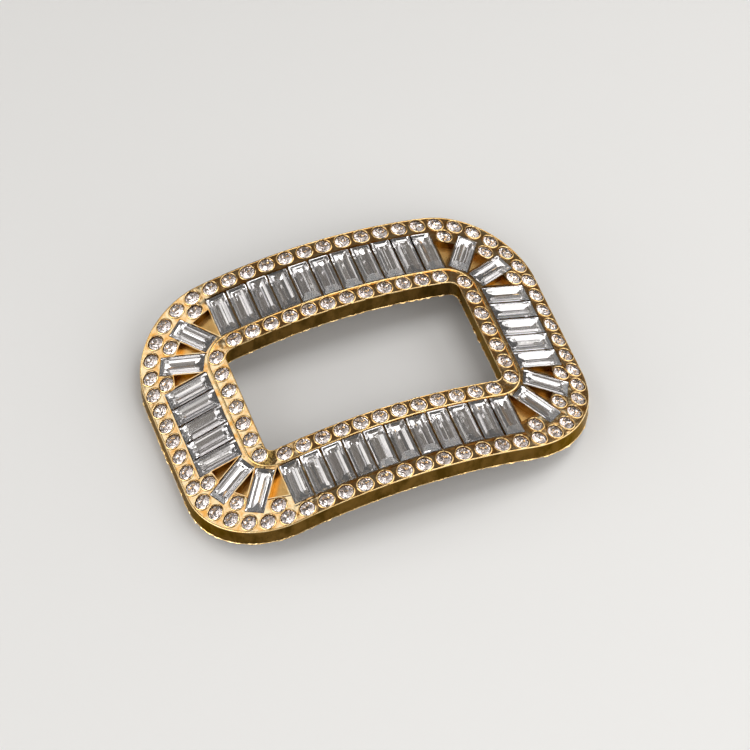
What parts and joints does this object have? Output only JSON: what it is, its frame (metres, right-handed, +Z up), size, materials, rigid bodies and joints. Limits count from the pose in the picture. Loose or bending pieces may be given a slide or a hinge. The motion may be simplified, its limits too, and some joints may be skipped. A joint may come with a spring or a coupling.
{
  "type": "shoe buckle",
  "caption": "Arched rectangular shoe buckle: a gold-coloured cast ring round a strap opening, set with rows of round stones and a channel of long step-cut ones that fan out at the corners.",
  "frame": {"origin": "below the middle of the strap opening, on the flat surface that the buckle's two ends rest on", "axes": "+X along the buckle's length, +Y along its width, +Z up out of the stone-set face"},
  "size_m": [0.062, 0.045, 0.0107],
  "materials": {
    "gold_plate": "polished pale gold plate over cast zinc alloy",
    "round_stone": "clear cut glass with a silver foil back",
    "long_stone": "clear step-cut glass with a silver foil back"
  },
  "bodies": {
    "root": {"frame": "gold_plate", "outer_round_stones": "round_stone", "inner_round_stones": "round_stone", "corner_round_stones": "round_stone", "baguette_back_1": "long_stone", "baguette_back_2": "long_stone", "baguette_back_3": "long_stone", "baguette_back_4": "long_stone", "baguette_back_5": "long_stone", "baguette_back_6": "long_stone", "baguette_back_7": "long_stone", "baguette_back_8": "long_stone", "baguette_back_9": "long_stone", "baguette_back_10": "long_stone", "baguette_back_11": "long_stone", "baguette_front_1": "long_stone", "baguette_front_2": "long_stone", "baguette_front_3": "long_stone", "baguette_front_4": "long_stone", "baguette_front_5": "long_stone", "baguette_front_6": "long_stone", "baguette_front_7": "long_stone", "baguette_front_8": "long_stone", "baguette_front_9": "long_stone", "baguette_front_10": "long_stone", "baguette_front_11": "long_stone", "baguette_left_1": "long_stone", "baguette_left_2": "long_stone", "baguette_left_3": "long_stone", "baguette_left_4": "long_stone", "baguette_left_5": "long_stone", "baguette_right_1": "long_stone", "baguette_right_2": "long_stone", "baguette_right_3": "long_stone", "baguette_right_4": "long_stone", "baguette_right_5": "long_stone", "baguette_corner_1": "long_stone", "baguette_corner_2": "long_stone", "baguette_corner_3": "long_stone", "baguette_corner_4": "long_stone", "baguette_corner_5": "long_stone", "baguette_corner_6": "long_stone", "baguette_corner_7": "long_stone", "baguette_corner_8": "long_stone"}
  },
  "joints": []
}
